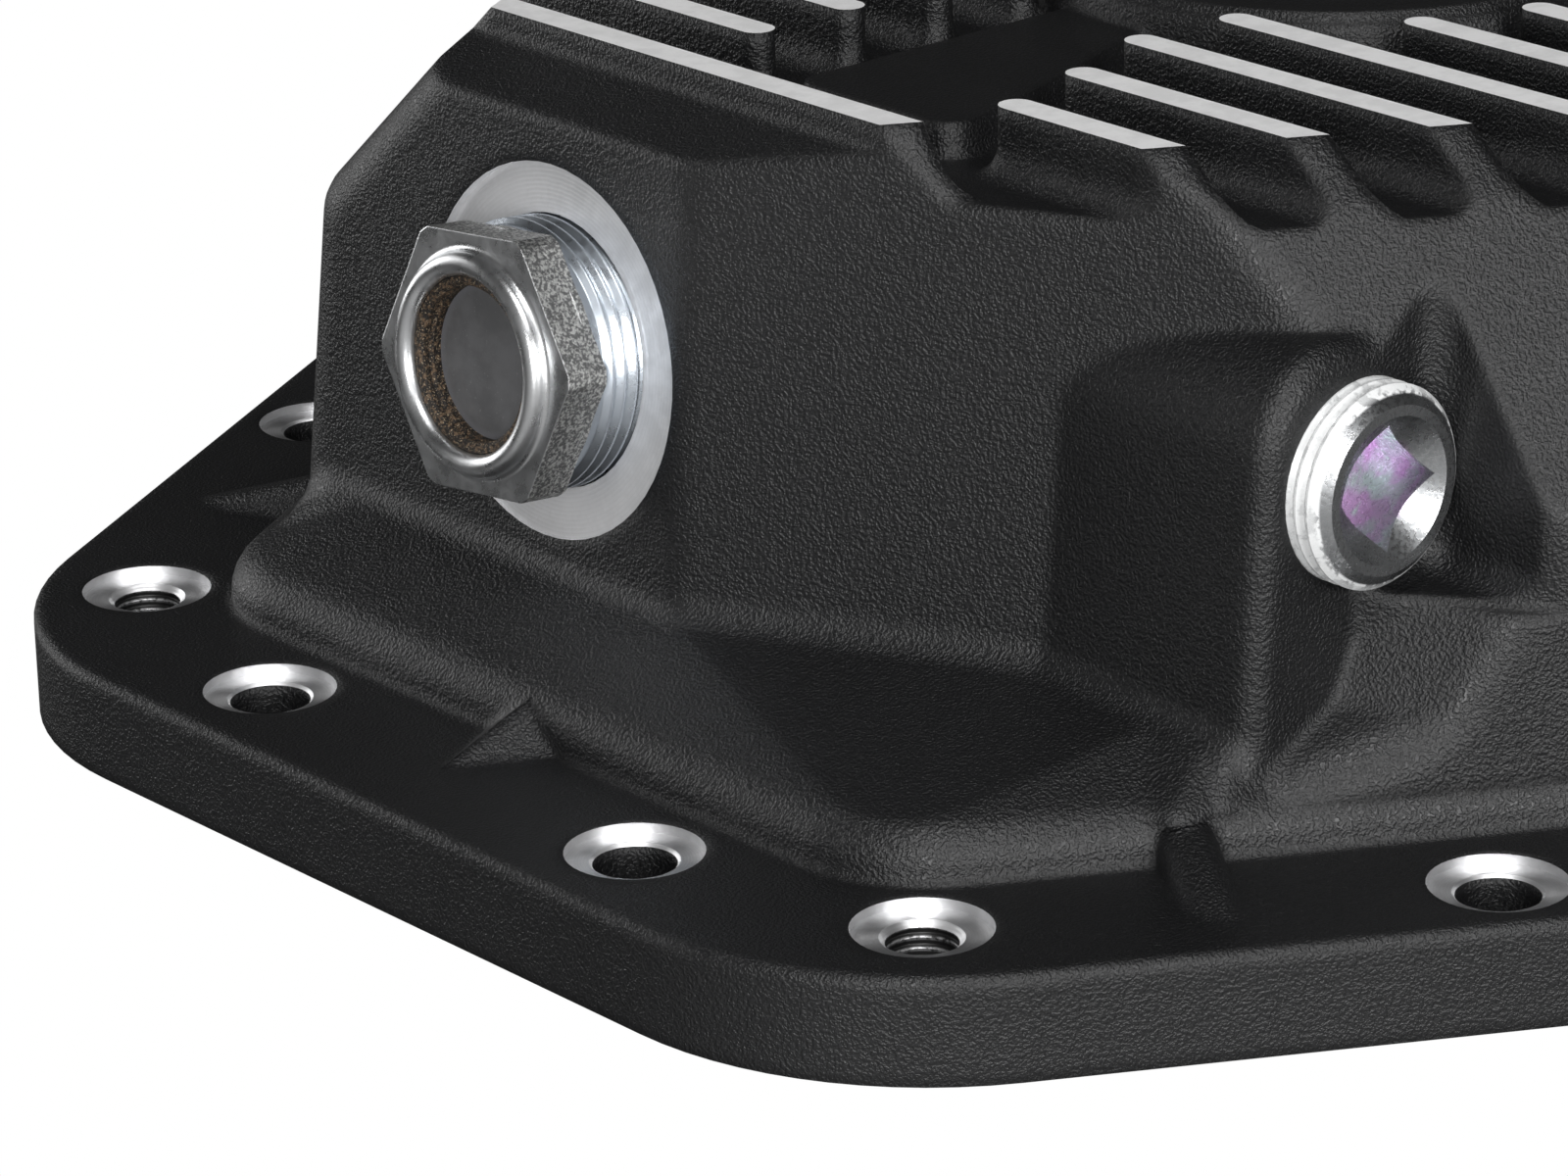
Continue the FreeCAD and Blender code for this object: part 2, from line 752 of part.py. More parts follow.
def hexagon_prism(width, turn, bottom, top):
    """A hexagon with one corner turned from +Y by an angle."""
    reach = width / 2 / cos(radians(30))
    turns = [radians(60 * index + turn) for index in range(6)]
    return prism([(-reach * sin(angle), reach * cos(angle)) for angle in turns], bottom, top)


def rolled_rim(inner, outer, root, base, top):
    """A ring with a round crest and a hollow foot outside, turned about +Z."""
    crest = (outer - inner) / 2
    middle = inner + crest
    bend = 1 - cos(radians(45))
    rise = top - crest
    lines = [
        Part.makeLine(vector(inner, 0, base - root), vector(inner, 0, rise)),
        Part.Arc(vector(inner, 0, rise), vector(middle, 0, top), vector(outer, 0, rise)).toShape(),
        Part.Arc(
            vector(outer, 0, rise),
            vector(outer + root * bend, 0, rise - (rise - base) * (1 - bend)),
            vector(outer + root, 0, base),
        ).toShape(),
        Part.makeLine(vector(outer + root, 0, base), vector(outer + root, 0, base - root)),
        Part.makeLine(vector(outer + root, 0, base - root), vector(inner, 0, base - root)),
    ]
    return Part.Face(Part.Wire(lines)).revolve(vector(0, 0, 0), up, 360)


def sight_plug_body():
    """The plated plug: grooved shank, hexagon and the raised rim rolled over the glass."""
    neck = sight_hex_back - sight_neck_depth
    core = sight_thread_radius - sight_thread_depth
    shank = turned(
        [(0, -sight_thread_inside)]
        + grooved_thread(sight_thread_radius, sight_thread_depth, sight_thread_pitch, -sight_thread_inside, neck)
        + [(core, sight_hex_back + sight_neck_depth), (0, sight_hex_back + sight_neck_depth)]
    )
    head = hexagon_prism(sight_hex_width, sight_hex_turn, sight_hex_back, sight_hex_front)
    head = head.common(Part.makeCylinder(sight_hex_corner_radius, sight_hex_front + 1))
    lip_top = sight_hex_front + sight_lip_height
    ledge = lip_top - sight_glass_depth - sight_glass_thickness
    lip = rolled_rim(sight_window_radius, sight_lip_radius, sight_lip_root, sight_hex_front, lip_top)
    bore = turned(
        [
            (0, -big),
            (sight_bore_radius, -big),
            (sight_bore_radius, ledge),
            (sight_window_radius, ledge),
            (sight_window_radius, big),
            (0, big),
        ]
    )
    body = shank.fuse([head, lip]).cut(bore).removeSplitter()
    body.Placement = sight_placement()
    return body


def sight_window():
    """The glass, resting on the ledge inside the plug."""
    bottom = sight_hex_front + sight_lip_height - sight_glass_depth - sight_glass_thickness
    glass = Part.makeCylinder(sight_window_radius - sight_fit, sight_glass_thickness, vector(0, 0, bottom))
    glass.Placement = sight_placement()
    return glass


def sight_seal_ring():
    """The grooved ring on top of the glass, inside the rolled rim."""
    bottom = sight_hex_front + sight_lip_height - sight_glass_depth
    top = bottom + sight_glass_depth - sight_ring_below_lip
    outer = sight_window_radius - sight_fit
    inner = outer - sight_ring_thickness
    ring = turned(
        [
            (inner, bottom),
            (outer, bottom),
            (outer, top),
            (inner + sight_ring_groove, top),
            (inner, top - sight_ring_groove),
            (inner, (top + bottom) / 2 + sight_ring_groove),
            (inner + sight_ring_groove, (top + bottom) / 2),
            (inner, (top + bottom) / 2 - sight_ring_groove),
        ]
    )
    ring.Placement = sight_placement()
    return ring


def filler_plug():
    """The pipe plug: grooved thread, plain face and a square socket with a coned mouth."""
    bottom = filler_stand_out - filler_length
    rim = filler_thread_radius - filler_rim_width
    shoulder = filler_stand_out - filler_rim_chamfer
    body = turned(
        [(0, bottom)]
        + grooved_thread(filler_thread_radius, filler_thread_depth, filler_thread_pitch, bottom, shoulder)
        + [(rim, filler_stand_out), (0, filler_stand_out)]
    )
    half = filler_socket_width / 2
    socket = Part.makeBox(2 * half, 2 * half, big, vector(-half, -half, filler_stand_out - filler_socket_depth))
    socket.rotate(vector(0, 0, 0), up, 45)
    floor = filler_stand_out - filler_cone_depth
    cone = Part.makeCone(half, filler_cone_radius, filler_cone_depth, vector(0, 0, floor))
    body = body.cut(socket.fuse(cone))
    body.Placement = filler_placement()
    return body


def main():
    os.makedirs("parts", exist_ok=True)
    nodes = {
        "cover_casting": cover_casting,
        "sight_plug_body": sight_plug_body,
        "sight_window": sight_window,
        "sight_seal_ring": sight_seal_ring,
        "filler_plug": filler_plug,
    }
    for name, make in nodes.items():
        make().exportStep("parts/" + name + ".step")


main()
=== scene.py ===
"""Looks of the finned differential cover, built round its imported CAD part.

The CAD pieces are shown as they are. Each gets a procedural finish: powder coat with
bare machined seats and fin tops, zinc plating, glass, a crumbly brown seal, and a grey
plug with white thread sealant. Lengths are in metres, in the part's own frame.
"""

import logging
import math
from dataclasses import dataclass, field
from enum import Enum
from typing import Dict, List, Optional, Tuple, Union

import bpy
from mathutils import Matrix, Vector


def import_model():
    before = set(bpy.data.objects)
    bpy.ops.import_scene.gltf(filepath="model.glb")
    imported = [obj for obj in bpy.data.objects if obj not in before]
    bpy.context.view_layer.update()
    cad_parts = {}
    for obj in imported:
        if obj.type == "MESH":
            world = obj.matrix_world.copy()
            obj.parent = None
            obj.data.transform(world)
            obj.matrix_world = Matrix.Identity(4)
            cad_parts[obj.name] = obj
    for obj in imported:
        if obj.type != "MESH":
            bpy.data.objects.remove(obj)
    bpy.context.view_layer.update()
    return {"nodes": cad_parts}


Socket = bpy.types.NodeSocket
Colour = Tuple[float, float, float]
Source = Union[Socket, float, Tuple[float, ...], Vector]

LOG = logging.getLogger("cover")
MM = 0.001

FLANGE_TOP = 14.3 * MM
FIN_TOP = 97.5 * MM
SPOT_RADIUS = 9.0 * MM
THROUGH_HOLES = [(131.5, 38.0), (61.0, 119.5)]
TAPPED_HOLES = [(121.3, 80.2)]
END_HOLES = [(0.0, 146.0), (0.0, -146.0)]
SEAT_CENTRE = Vector((96.2, -18.9, 58.4)) * MM
SEAT_LEAN = math.radians(5.3)
SEAT_AXIS = Vector((math.cos(SEAT_LEAN), 0.0, math.sin(SEAT_LEAN)))
SEAT_RADIUS = 25.5 * MM
SEAT_BORE_RADIUS = 18.4 * MM
PLUG_CENTRE = Vector((55.5, 90.0, 58.0)) * MM
PLUG_AXIS = Vector((0.0, 1.0, 0.0))
HEX_BACK = 7.1 * MM
LIP_RADIUS = 15.2 * MM


class Surface(Enum):
    """Which finish a face of the casting has."""

    PAINT = 0
    SPOTFACE = 1
    FIN_TOP = 2
    SEAT = 3
    TAPPED = 4


def all_holes() -> List[Tuple[float, float]]:
    """Finds the centres of all holes in the flange.

    Returns:
        X and Y of each hole, in metres.
    """
    found = []
    for x, y in THROUGH_HOLES + TAPPED_HOLES:
        found += [(sx * x * MM, sy * y * MM) for sx in (1, -1) for sy in (1, -1)]
    return found + [(x * MM, y * MM) for x, y in END_HOLES]


def toned(colour: Colour, share: float) -> Colour:
    """Makes a colour lighter or darker.

    Args:
        colour: the colour to start from.
        share: what each channel is multiplied by.

    Returns:
        The new colour.
    """
    return (colour[0] * share, colour[1] * share, colour[2] * share)


@dataclass
class NodeKit:
    """Places nodes in one tree and joins them."""

    tree: bpy.types.NodeTree

    def add(self, kind: str, **settings: object) -> bpy.types.Node:
        """Adds a node.

        Args:
            kind: the node's class name.
            **settings: attributes to set on it.

        Returns:
            The new node.
        """
        node = self.tree.nodes.new(kind)
        for name, value in settings.items():
            setattr(node, name, value)
        return node

    def feed(self, target: Socket, source: Source) -> None:
        """Joins an input to a socket, or gives it a constant.

        Args:
            target: the input socket.
            source: an output socket, a number, a colour or a vector.
        """
        if isinstance(source, Socket):
            self.tree.links.new(source, target)
        elif target.type == "RGBA":
            target.default_value = (*source, 1.0)
        else:
            target.default_value = source

    def position(self) -> Socket:
        """Gives the shaded point's place in the part's frame."""
        return self.add("ShaderNodeNewGeometry").outputs["Position"]

    def math(self, operation: str, first: Source, second: Optional[Source] = None) -> Socket:
        """Adds a maths node.

        Args:
            operation: the operation's name.
            first: the first value.
            second: the second value, where the operation has one.

        Returns:
            The result.
        """
        node = self.add("ShaderNodeMath", operation=operation)
        self.feed(node.inputs[0], first)
        if second is not None:
            self.feed(node.inputs[1], second)
        return node.outputs["Value"]

    def vector(self, operation: str, first: Source, second: Optional[Source] = None) -> Socket:
        """Adds a vector maths node.

        Args:
            operation: the operation's name.
            first: the first vector.
            second: the second vector, where the operation has one.

        Returns:
            The result: a number for a dot product or a length, or else a vector.
        """
        node = self.add("ShaderNodeVectorMath", operation=operation)
        self.feed(node.inputs[0], first)
        if second is not None:
            self.feed(node.inputs[1], second)
        gives_number = operation in ("DOT_PRODUCT", "LENGTH")
        return node.outputs["Value" if gives_number else "Vector"]

    def ramp(
        self,
        value: Socket,
        low: Source,
        high: Source,
        out_low: float = 0.0,
        out_high: float = 1.0,
    ) -> Socket:
        """Adds a smooth map from one range to another.

        Args:
            value: the value to map.
            low: the range's lower end.
            high: the range's upper end.
            out_low: the result at the lower end.
            out_high: the result at the upper end.

        Returns:
            The mapped value.
        """
        node = self.add("ShaderNodeMapRange", interpolation_type="SMOOTHSTEP")
        self.feed(node.inputs["Value"], value)
        self.feed(node.inputs["From Min"], low)
        self.feed(node.inputs["From Max"], high)
        self.feed(node.inputs["To Min"], out_low)
        self.feed(node.inputs["To Max"], out_high)
        return node.outputs["Result"]

    def mix(self, factor: Source, first: Source, second: Source) -> Socket:
        """Adds a colour mix.

        Args:
            factor: how much of the second colour shows.
            first: the first colour.
            second: the second colour.

        Returns:
            The mixed colour.
        """
        node = self.add("ShaderNodeMix", data_type="RGBA")
        self.feed(node.inputs[0], factor)
        self.feed(node.inputs[6], first)
        self.feed(node.inputs[7], second)
        return node.outputs[2]

    def about_axis(self, place: Socket, centre: Vector, axis: Vector) -> Tuple[Socket, Socket]:
        """Measures a point from an axis.

        Args:
            place: the point.
            centre: a point on the axis.
            axis: the axis's direction.

        Returns:
            How far along the axis the point is, and how far from it.
        """
        offset = self.vector("SUBTRACT", place, centre)
        along = self.vector("DOT_PRODUCT", offset, axis)
        return along, self.vector("LENGTH", self.vector("CROSS_PRODUCT", offset, axis))

    def soft_edges(self, radius: float, samples: int = 6) -> Socket:
        """Gives the normal with edges rounded in shading.

        Args:
            radius: the rounding's radius.
            samples: how many rays are used.

        Returns:
            The softened normal.
        """
        bevel = self.add("ShaderNodeBevel", samples=samples)
        bevel.inputs["Radius"].default_value = radius
        return bevel.outputs[0]

    def relief(
        self,
        shader: bpy.types.Node,
        height: Socket,
        distance: float,
        strength: Source = 1.0,
        normal: Optional[Socket] = None,
    ) -> None:
        """Gives a shader fine relief.

        Args:
            shader: the Principled node.
            height: the relief's height, from 0 to 1.
            distance: what a height of 1 stands for.
            strength: how much of the relief shows.
            normal: the normal it starts from, where that isn't the mesh's own.
        """
        bump = self.add("ShaderNodeBump")
        self.feed(bump.inputs["Height"], height)
        self.feed(bump.inputs["Distance"], distance)
        self.feed(bump.inputs["Strength"], strength)
        if normal is not None:
            self.feed(bump.inputs["Normal"], normal)
        self.feed(shader.inputs["Normal"], bump.outputs[0])


@dataclass(frozen=True)
class Effect:
    """Base of every effect that several finishes share: a node group with named sockets."""

    name: str
    inputs: Tuple[Tuple[str, str, object], ...]
    outputs: Tuple[Tuple[str, str], ...]

    def lay_out(self, kit: NodeKit, given: bpy.types.bpy_prop_collection) -> Dict[str, Socket]:
        """Places the group's nodes. Each effect has its own.

        Args:
            kit: the node helper for the group.
            given: the group's inputs, by name.

        Returns:
            What goes to each of the group's outputs.
        """
        raise NotImplementedError

    def group(self) -> bpy.types.NodeTree:
        """Gives the node group, which is built the first time that it is asked for.

        Returns:
            The node group.
        """
        known = bpy.data.node_groups.get(self.name)
        if known is not None:
            return known
        tree = bpy.data.node_groups.new(self.name, "ShaderNodeTree")
        for label, kind, default in self.inputs:
            socket = tree.interface.new_socket(name=label, in_out="INPUT", socket_type=kind)
            socket.default_value = default
        for label, kind in self.outputs:
            tree.interface.new_socket(name=label, in_out="OUTPUT", socket_type=kind)
        kit = NodeKit(tree)
        given = kit.add("NodeGroupInput").outputs
        wanted = kit.add("NodeGroupOutput").inputs
        for label, result in self.lay_out(kit, given).items():
            kit.feed(wanted[label], result)
        return tree

    def place(self, kit: NodeKit, **values: Source) -> bpy.types.bpy_prop_collection:
        """Places the group in a material.

        Args:
            kit: the node helper for the material.
            **values: the group's inputs by their names in lower case.

        Returns:
            The group's outputs, by name.
        """
        node = kit.add("ShaderNodeGroup", node_tree=self.group())
        for label, value in values.items():
            kit.feed(node.inputs[label.capitalize()], value)
        return node.outputs


@dataclass(frozen=True)
class Mottle(Effect):
    """Irregular blobs: their value, a mask between two levels of it, and two colours mixed."""

    name: str = "mottle"
    inputs: Tuple[Tuple[str, str, object], ...] = (
        ("Position", "NodeSocketVector", (0.0, 0.0, 0.0)),
        ("Scale", "NodeSocketFloat", 1000.0),
        ("Detail", "NodeSocketFloat", 2.0),
        ("Roughness", "NodeSocketFloat", 0.5),
        ("Low", "NodeSocketFloat", 0.3),
        ("High", "NodeSocketFloat", 0.7),
        ("First", "NodeSocketColor", (0.0, 0.0, 0.0, 1.0)),
        ("Second", "NodeSocketColor", (1.0, 1.0, 1.0, 1.0)),
    )
    outputs: Tuple[Tuple[str, str], ...] = (
        ("Value", "NodeSocketFloat"),
        ("Mask", "NodeSocketFloat"),
        ("Mixed", "NodeSocketColor"),
    )

    def lay_out(self, kit: NodeKit, given: bpy.types.bpy_prop_collection) -> Dict[str, Socket]:
        """Places the group's nodes.

        Args:
            kit: the node helper for the group.
            given: the group's inputs, by name.

        Returns:
            What goes to each of the group's outputs.
        """
        noise = kit.add("ShaderNodeTexNoise")
        kit.feed(noise.inputs["Vector"], given["Position"])
        for label in ("Scale", "Detail", "Roughness"):
            kit.feed(noise.inputs[label], given[label])
        value = noise.outputs[0]
        mask = kit.ramp(value, given["Low"], given["High"])
        mixed = kit.mix(mask, given["First"], given["Second"])
        return {"Value": value, "Mask": mask, "Mixed": mixed}


@dataclass(frozen=True)
class Rings(Effect):
    """Evenly spaced ridges along a distance, such as a tool's marks or a thread."""

    name: str = "rings"
    inputs: Tuple[Tuple[str, str, object], ...] = (
        ("Distance", "NodeSocketFloat", 0.0),
        ("Pitch", "NodeSocketFloat", 0.001),
        ("Wobble", "NodeSocketFloat", 0.0),
        ("Low", "NodeSocketFloat", 0.0),
        ("High", "NodeSocketFloat", 1.0),
    )
    outputs: Tuple[Tuple[str, str], ...] = (
        ("Wave", "NodeSocketFloat"),
        ("Crests", "NodeSocketFloat"),
    )

    def lay_out(self, kit: NodeKit, given: bpy.types.bpy_prop_collection) -> Dict[str, Socket]:
        """Places the group's nodes.

        Args:
            kit: the node helper for the group.
            given: the group's inputs, by name.

        Returns:
            What goes to each of the group's outputs.
        """
        rate = kit.math("DIVIDE", 2 * math.pi, given["Pitch"])
        phase = kit.math("MULTIPLY", given["Distance"], rate)
        wave = kit.math("SINE", kit.math("ADD", phase, given["Wobble"]))
        return {"Wave": wave, "Crests": kit.ramp(wave, given["Low"], given["High"])}


MOTTLE = Mottle()
RINGS = Rings()


@dataclass(frozen=True)
class Finish:
    """Base of every finish: a material with one Principled shader."""

    name: str

    def build(self) -> bpy.types.Material:
        """Makes the material.

        Returns:
            The finished material.
        """
        material = bpy.data.materials.new(self.name)
        material.use_nodes = True
        tree = material.node_tree
        tree.nodes.clear()
        kit = NodeKit(tree)
        shader = kit.add("ShaderNodeBsdfPrincipled")
        output = kit.add("ShaderNodeOutputMaterial")
        kit.feed(output.inputs[0], shader.outputs[0])
        self.shade(kit, shader)
        return material

    def shade(self, kit: NodeKit, shader: bpy.types.Node) -> None:
        """Sets the shader's inputs. Each finish has its own.

        Args:
            kit: the node helper.
            shader: the Principled node.
        """
        raise NotImplementedError


@dataclass(frozen=True)
class PowderCoat(Finish):
    """Black powder coat with a fine leathery grain and soft cast edges."""

    colour: Colour = (0.0050, 0.0051, 0.0056)
    patch_scale: float = 38.0
    patch_tone: float = 1.3
    crest_tone: float = 2.2
    grain_scale: float = 2100.0
    wide_scale: float = 651.0
    pebble_weight: float = 0.8
    wide_weight: float = 0.5
    grain_height: float = 0.00011
    edge_radius: float = 0.0028
    roughness: Tuple[float, float] = (0.44, 0.34)
    specular: float = 0.62

    def shade(self, kit: NodeKit, shader: bpy.types.Node) -> None:
        """Sets colour, gloss and grain.

        Args:
            kit: the node helper.
            shader: the Principled node.
        """
        place = kit.position()
        fine = {"position": place, "scale": self.grain_scale, "detail": 1.6, "roughness": 0.6}
        grain = MOTTLE.place(kit, low=0.34, high=0.66, **fine)
        wide = MOTTLE.place(kit, position=place, scale=self.wide_scale)
        patch = MOTTLE.place(
            kit,
            position=place,
            scale=self.patch_scale,
            detail=3.0,
            roughness=0.6,
            low=0.35,
            high=0.7,
            first=self.colour,
            second=toned(self.colour, self.patch_tone),
        )
        crests = kit.ramp(grain["Value"], 0.55, 0.75)
        colour = kit.mix(crests, patch["Mixed"], toned(self.colour, self.crest_tone))
        kit.feed(shader.inputs["Base Color"], colour)
        kit.feed(shader.inputs["Roughness"], kit.ramp(grain["Value"], 0.3, 0.7, *self.roughness))
        shader.inputs["Specular IOR Level"].default_value = self.specular
        pebbles = kit.math("MULTIPLY", grain["Mask"], self.pebble_weight)
        waves = kit.math("MULTIPLY", wide["Value"], self.wide_weight)
        height = kit.math("ADD", pebbles, waves)
        kit.relief(shader, height, self.grain_height, normal=kit.soft_edges(self.edge_radius))


@dataclass(frozen=True)
class BareAluminium(Finish):
    """Freshly machined aluminium with the tool's rings round one or more centres."""

    colour: Colour = (0.86, 0.86, 0.87)
    metallic: float = 1.0
    roughness: float = 0.3
    roughness_spread: float = 0.12
    centres: Tuple[Tuple[float, float, float], ...] = ()
    axis: Vector = Vector((0, 0, 1))
    pitch: float = 0.0004
    wobble: float = 1.6
    drift_scale: float = 500.0
    stretch: float = 0.75
    blotch_scale: float = 230.0
    blotch_tone: float = 0.86
    ring_tone: float = 0.7
    ring_share: float = 0.2
    grain_scale: float = 3200.0
    relief_height: float = 0.00002
    relief_strength: float = 0.4

    def turning(self, kit: NodeKit, place: Socket) -> Tuple[Socket, Socket]:
        """Finds the distance to the nearest centre and the tool's direction there.

        Args:
            kit: the node helper.
            place: the shaded point.

        Returns:
            The distance and the direction.
        """
        distance = None
        direction = None
        for centre in self.centres:
            offset = kit.vector("SUBTRACT", place, centre)
            across = kit.vector("CROSS_PRODUCT", self.axis, offset)
            length = kit.vector("LENGTH", across)
            if distance is None:
                distance, direction = length, across
                continue
            choice = kit.add("ShaderNodeMix", data_type="VECTOR")
            kit.feed(choice.inputs[0], kit.math("LESS_THAN", length, distance))
            kit.feed(choice.inputs[4], direction)
            kit.feed(choice.inputs[5], across)
            direction = choice.outputs[1]
            distance = kit.math("MINIMUM", distance, length)
        return distance, direction

    def shade(self, kit: NodeKit, shader: bpy.types.Node) -> None:
        """Sets colour, gloss and tool marks.

        Args:
            kit: the node helper.
            shader: the Principled node.
        """
        place = kit.position()
        shader.inputs["Metallic"].default_value = self.metallic
        blotch = MOTTLE.place(
            kit,
            position=place,
            scale=self.blotch_scale,
            detail=4.0,
            roughness=0.62,
            low=0.35,
            high=0.65,
            first=self.colour,
            second=toned(self.colour, self.blotch_tone),
        )
        colour = blotch["Mixed"]
        height = MOTTLE.place(kit, position=place, scale=self.grain_scale, detail=1.0)["Value"]
        if self.centres:
            distance, direction = self.turning(kit, place)
            kit.feed(shader.inputs["Tangent"], kit.vector("NORMALIZE", direction))
            shader.inputs["Anisotropic"].default_value = self.stretch
            drift = MOTTLE.place(kit, position=place, scale=self.drift_scale)["Value"]
            marks = RINGS.place(
                kit,
                distance=distance,
                pitch=self.pitch,
                wobble=kit.math("MULTIPLY", drift, self.wobble),
                low=0.4,
                high=1.0,
            )
            dark = kit.math("MULTIPLY", marks["Crests"], self.ring_share)
            colour = kit.mix(dark, colour, toned(self.colour, self.ring_tone))
            rings = kit.math("MULTIPLY", marks["Wave"], 0.5)
            height = kit.math("ADD", rings, kit.math("MULTIPLY", height, 0.5))
        kit.feed(shader.inputs["Base Color"], colour)
        highest = self.roughness + self.roughness_spread
        gloss = kit.ramp(blotch["Value"], 0.3, 0.7, self.roughness, highest)
        kit.feed(shader.inputs["Roughness"], gloss)
        kit.relief(shader, height, self.relief_height, self.relief_strength)


@dataclass(frozen=True)
class TappedThread(Finish):
    """The bare wall of a tapped hole, with the thread's ridges round it. Its colour holds
    painted shade, near black, in the thread roots and painted highlights in grainy patches on
    the crests.
    """

    pitch: float = 0.0015
    shaded_root_colour: Colour = (0.06, 0.06, 0.06)
    lit_crest_colour: Colour = (0.72, 0.72, 0.73)
    metallic: float = 0.9
    roughness: float = 0.38
    relief_height: float = 0.0005

    def shade(self, kit: NodeKit, shader: bpy.types.Node) -> None:
        """Sets colour, gloss and ridges.

        Args:
            kit: the node helper.
            shader: the Principled node.
        """
        place = kit.position()
        split = kit.add("ShaderNodeSeparateXYZ")
        kit.feed(split.inputs[0], place)
        height = split.outputs["Z"]
        turns = RINGS.place(kit, distance=height, pitch=self.pitch, low=-0.2, high=0.9)
        grain = MOTTLE.place(
            kit, position=place, scale=1400.0, detail=3.0, roughness=0.6, low=0.3, high=0.6
        )
        # painted light: crests lit in grainy patches as painted highlight, roots kept near black
        # as painted shade
        lit_crests = kit.math("MULTIPLY", turns["Crests"], grain["Mask"])
        colour = kit.mix(lit_crests, self.shaded_root_colour, self.lit_crest_colour)
        kit.feed(shader.inputs["Base Color"], colour)
        shader.inputs["Metallic"].default_value = self.metallic
        shader.inputs["Roughness"].default_value = self.roughness
        kit.relief(shader, turns["Wave"], self.relief_height)


@dataclass(frozen=True)
class ZincPlate(Finish):
    """Bright zinc plating: smooth on rim and thread, sparkling on the hexagon's sides."""

    colour: Colour = (0.78, 0.79, 0.80)
    blotch_tone: float = 0.82
    thread_tint: Colour = (0.58, 0.68, 0.80)
    thread_share: float = 0.5
    speck_dark: Colour = (0.20, 0.20, 0.20)
    speck_light: Colour = (0.92, 0.92, 0.90)
    speck_scale: float = 2100.0
    speck_share: float = 0.85
    blotch_scale: float = 260.0
    roughness: float = 0.24
    roughness_spread: float = 0.14
    side_roughness: float = 0.16
    lip_margin: float = 0.0012
    grain_height: float = 0.00012
    plain_relief: float = 0.12
    side_relief: float = 0.8
    edge_radius: float = 0.0003

    def hexagon_sides(
        self, kit: NodeKit, normal: Socket, in_front: Socket, radial: Socket
    ) -> Socket:
        """Finds the hexagon's six sides.

        Args:
            kit: the node helper.
            normal: the surface's direction.
            in_front: a mask of what is in front of the thread.
            radial: the distance from the plug's axis.

        Returns:
            A mask of the sides.
        """
        facing = kit.math("ABSOLUTE", kit.vector("DOT_PRODUCT", normal, SEAT_AXIS))
        beyond_lip = kit.math("GREATER_THAN", radial, LIP_RADIUS + self.lip_margin)
        upright = kit.ramp(facing, 0.35, 0.2)
        return kit.math("MULTIPLY", kit.math("MULTIPLY", in_front, beyond_lip), upright)

    def shade(self, kit: NodeKit, shader: bpy.types.Node) -> None:
        """Sets colour, gloss and grain.

        Args:
            kit: the node helper.
            shader: the Principled node.
        """
        geometry = kit.add("ShaderNodeNewGeometry").outputs
        place = geometry["Position"]
        along, radial = kit.about_axis(place, SEAT_CENTRE, SEAT_AXIS)
        in_front = kit.math("GREATER_THAN", along, HEX_BACK)
        sides = self.hexagon_sides(kit, geometry["Normal"], in_front, radial)
        on_thread = kit.math("SUBTRACT", 1.0, in_front)
        grain = MOTTLE.place(
            kit,
            position=place,
            scale=self.speck_scale,
            roughness=0.65,
            low=0.42,
            high=0.62,
            first=self.speck_dark,
            second=self.speck_light,
        )
        blotch = MOTTLE.place(
            kit,
            position=place,
            scale=self.blotch_scale,
            detail=4.0,
            roughness=0.62,
            first=self.colour,
            second=toned(self.colour, self.blotch_tone),
        )
        shader.inputs["Metallic"].default_value = 1.0
        tint = kit.math("MULTIPLY", on_thread, self.thread_share)
        tinted = kit.mix(tint, blotch["Mixed"], self.thread_tint)
        specks = kit.math("MULTIPLY", sides, self.speck_share)
        kit.feed(shader.inputs["Base Color"], kit.mix(specks, tinted, grain["Mixed"]))
        highest = self.roughness + self.roughness_spread
        smooth = kit.ramp(blotch["Value"], 0.3, 0.7, self.roughness, highest)
        gloss = kit.math("ADD", smooth, kit.math("MULTIPLY", sides, self.side_roughness))
        kit.feed(shader.inputs["Roughness"], gloss)
        extra = kit.math("MULTIPLY", sides, self.side_relief)
        strength = kit.math("ADD", self.plain_relief, extra)
        edges = kit.soft_edges(self.edge_radius)
        kit.relief(shader, grain["Value"], self.grain_height, strength, edges)


@dataclass(frozen=True)
class BrownSeal(Finish):
    """Dark brown crumbly ring."""

    dark: Colour = (0.008, 0.005, 0.003)
    crumb: Colour = (0.12, 0.075, 0.042)
    speck: Colour = (0.42, 0.33, 0.22)
    roughness: float = 0.6
    relief_height: float = 0.0004

    def shade(self, kit: NodeKit, shader: bpy.types.Node) -> None:
        """Sets colour and crumbs.

        Args:
            kit: the node helper.
            shader: the Principled node.
        """
        place = kit.position()
        crumbs = MOTTLE.place(
            kit,
            position=place,
            scale=1500.0,
            detail=3.0,
            roughness=0.7,
            low=0.48,
            high=0.62,
            first=self.dark,
            second=self.crumb,
        )
        specks = MOTTLE.place(
            kit,
            position=place,
            scale=4200.0,
            roughness=0.6,
            low=0.60,
            high=0.68,
            first=crumbs["Mixed"],
            second=self.speck,
        )
        kit.feed(shader.inputs["Base Color"], specks["Mixed"])
        shader.inputs["Roughness"].default_value = self.roughness
        kit.relief(shader, crumbs["Value"], self.relief_height)


